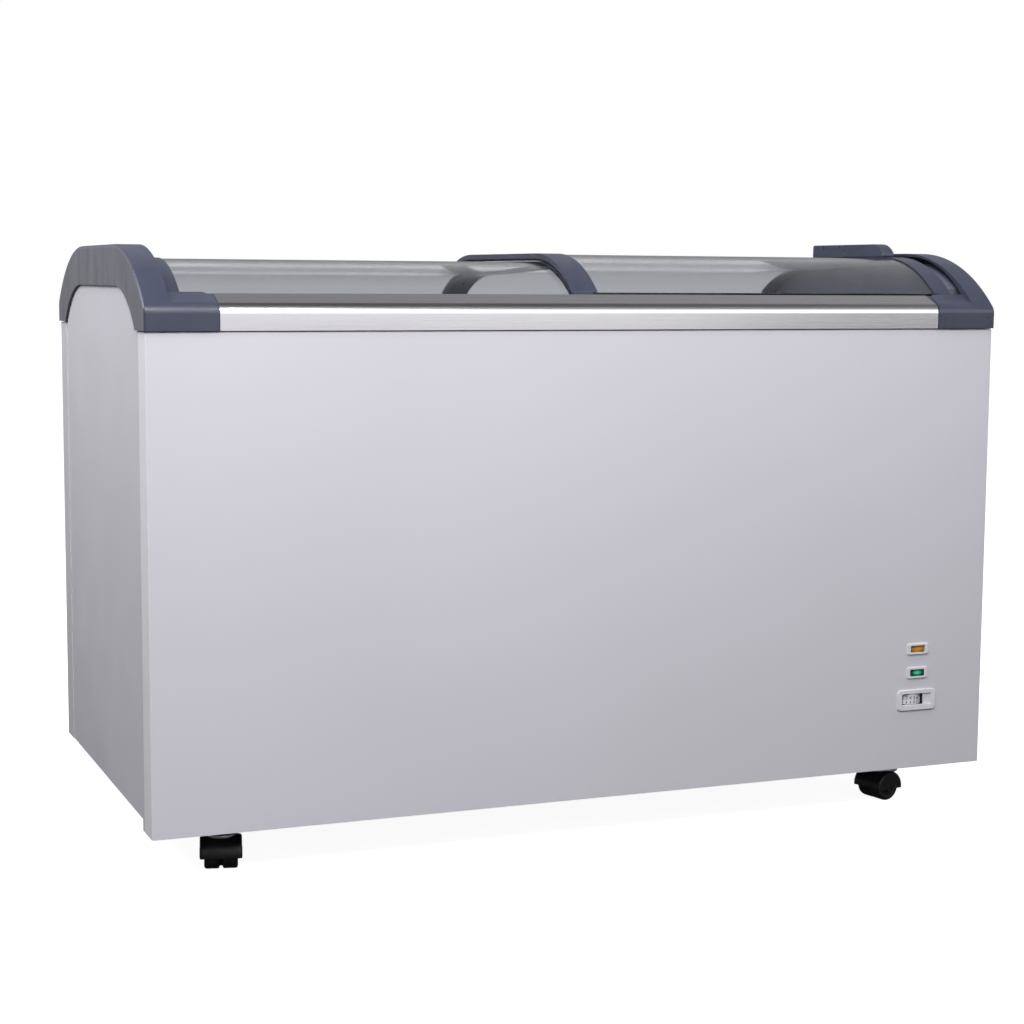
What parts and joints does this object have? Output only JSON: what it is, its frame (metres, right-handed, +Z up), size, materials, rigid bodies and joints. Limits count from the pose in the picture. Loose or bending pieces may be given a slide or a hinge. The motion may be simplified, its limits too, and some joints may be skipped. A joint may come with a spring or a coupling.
{
  "type": "chest freezer",
  "caption": "White commercial chest freezer with a curved top of sliding glass lids, blue-grey end caps, stainless rails and swivel casters.",
  "frame": {"origin": "on the floor under the middle of the freezer, level with the lowest points of the wheels", "axes": "+X to the right along the front as a customer sees it; +Y from front to back; +Z up"},
  "size_m": [1.36, 0.663, 0.904],
  "materials": {
    "white_steel": "satin",
    "zinc_steel": "satin",
    "stainless_trim": "satin",
    "blue_grey_plastic": "satin",
    "dark_plastic": "satin",
    "black_plastic": "satin",
    "white_plastic": "satin",
    "caster_tread": "satin",
    "black_rubber": "matte",
    "insulation_foam": "matte",
    "liner_sheet": "satin",
    "copper_tube": "satin",
    "aluminium_fins": "satin",
    "black_enamel": "gloss",
    "amber_lens": "gloss",
    "green_lens": "gloss",
    "lid_glass": "gloss"
  },
  "bodies": {
    "cabinet": {"front_panel": "white_steel", "back_panel": "white_steel", "left_side_panel": "white_steel", "right_side_panel": "white_steel", "left_end_wall": "dark_plastic", "right_end_wall": "dark_plastic", "left_end_cap": "blue_grey_plastic", "right_end_cap": "blue_grey_plastic", "side_vent_grille": "white_plastic", "base_plate": "zinc_steel", "foam_insulation": "insulation_foam", "inner_liner": "liner_sheet", "evaporator_coil": "copper_tube", "drain_tube": "white_plastic", "drain_plug": "black_rubber", "front_trim": "stainless_trim", "rear_trim": "stainless_trim", "front_lid_rail": "blue_grey_plastic", "rear_lid_rail": "blue_grey_plastic", "power_switch_bezel": "white_plastic", "indicator_lamp_bezel": "white_plastic", "indicator_lamp_lens": "green_lens", "thermostat_bezel": "white_plastic", "thermostat_body": "black_plastic", "compressor": "black_enamel", "start_relay_box": "black_plastic", "condenser": "aluminium_fins", "fan_shroud": "black_plastic", "fan_motor": "zinc_steel", "filter_drier": "copper_tube", "drip_tray": "black_plastic", "cable_gland": "black_plastic", "front_left_caster_plate": "zinc_steel", "front_right_caster_plate": "zinc_steel", "rear_left_caster_plate": "zinc_steel", "rear_right_caster_plate": "zinc_steel"},
    "left_lid": {"left_lid_end_frame": "blue_grey_plastic", "left_lid_centre_frame": "blue_grey_plastic", "left_lid_glass": "lid_glass", "left_lid_front_runner": "black_plastic", "left_lid_rear_runner": "black_plastic", "left_lid_handle": "blue_grey_plastic"},
    "right_lid": {"right_lid_end_frame": "blue_grey_plastic", "right_lid_centre_frame": "blue_grey_plastic", "right_lid_glass": "lid_glass", "right_lid_front_runner": "black_plastic", "right_lid_rear_runner": "black_plastic", "right_lid_handle": "blue_grey_plastic", "lid_gap_seal": "black_rubber"},
    "power_switch": {"power_switch_rocker": "amber_lens"},
    "thermostat_knob": {"thermostat_dial": "white_plastic"},
    "condenser_fan": {"fan_blade": "black_plastic"},
    "front_left_swivel": {"front_left_caster_fork": "black_plastic"},
    "front_left_wheels": {"front_left_caster_wheels": "caster_tread"},
    "front_right_swivel": {"front_right_caster_fork": "black_plastic"},
    "front_right_wheels": {"front_right_caster_wheels": "caster_tread"},
    "rear_left_swivel": {"rear_left_caster_fork": "black_plastic"},
    "rear_left_wheels": {"rear_left_caster_wheels": "caster_tread"},
    "rear_right_swivel": {"rear_right_caster_fork": "black_plastic"},
    "rear_right_wheels": {"rear_right_caster_wheels": "caster_tread"}
  },
  "joints": [
    {"name": "left_lid_slide", "type": "slide", "parent": "cabinet", "child": "left_lid", "axis": [1, 0, 0], "range_m": [0, 0.575]},
    {"name": "right_lid_slide", "type": "slide", "parent": "cabinet", "child": "right_lid", "axis": [1, 0, 0], "range_m": [-0.575, 0.022]},
    {"name": "power_switch_rock", "type": "hinge", "parent": "cabinet", "child": "power_switch", "pos_m": [0.555, -0.3255, 0.2608], "axis": [0, 0, 1], "range_deg": [0, 14]},
    {"name": "thermostat_turn", "type": "hinge", "parent": "cabinet", "child": "thermostat_knob", "pos_m": [0.549, -0.3063, 0.1795], "axis": [0, 0, 1], "range_deg": [-135, 135]},
    {"name": "condenser_fan_spin", "type": "hinge", "parent": "cabinet", "child": "condenser_fan", "pos_m": [0.51, -0.1415, 0.212], "axis": [0, 1, 0], "continuous": true},
    {"name": "front_left_swivel_turn", "type": "hinge", "parent": "cabinet", "child": "front_left_swivel", "pos_m": [-0.559, -0.2425, 0.066], "axis": [0, 0, 1], "continuous": true},
    {"name": "front_left_wheel_spin", "type": "hinge", "parent": "front_left_swivel", "child": "front_left_wheels", "pos_m": [-0.5636, -0.26094, 0.023], "axis": [0.9703, -0.2419, 0], "continuous": true},
    {"name": "front_right_swivel_turn", "type": "hinge", "parent": "cabinet", "child": "front_right_swivel", "pos_m": [0.559, -0.2425, 0.066], "axis": [0, 0, 1], "continuous": true},
    {"name": "front_right_wheel_spin", "type": "hinge", "parent": "front_right_swivel", "child": "front_right_wheels", "pos_m": [0.54041, -0.24645, 0.023], "axis": [0.2079, -0.9781, 0], "continuous": true},
    {"name": "rear_left_swivel_turn", "type": "hinge", "parent": "cabinet", "child": "rear_left_swivel", "pos_m": [-0.555, 0.2235, 0.066], "axis": [0, 0, 1], "continuous": true},
    {"name": "rear_left_wheel_spin", "type": "hinge", "parent": "rear_left_swivel", "child": "rear_left_wheels", "pos_m": [-0.5517, 0.20479, 0.023], "axis": [0.9848, 0.1736, 0], "continuous": true},
    {"name": "rear_right_swivel_turn", "type": "hinge", "parent": "cabinet", "child": "rear_right_swivel", "pos_m": [0.535, 0.2235, 0.066], "axis": [0, 0, 1], "continuous": true},
    {"name": "rear_right_wheel_spin", "type": "hinge", "parent": "rear_right_swivel", "child": "rear_right_wheels", "pos_m": [0.5241, 0.20794, 0.023], "axis": [0.8192, -0.5736, 0], "continuous": true}
  ]
}
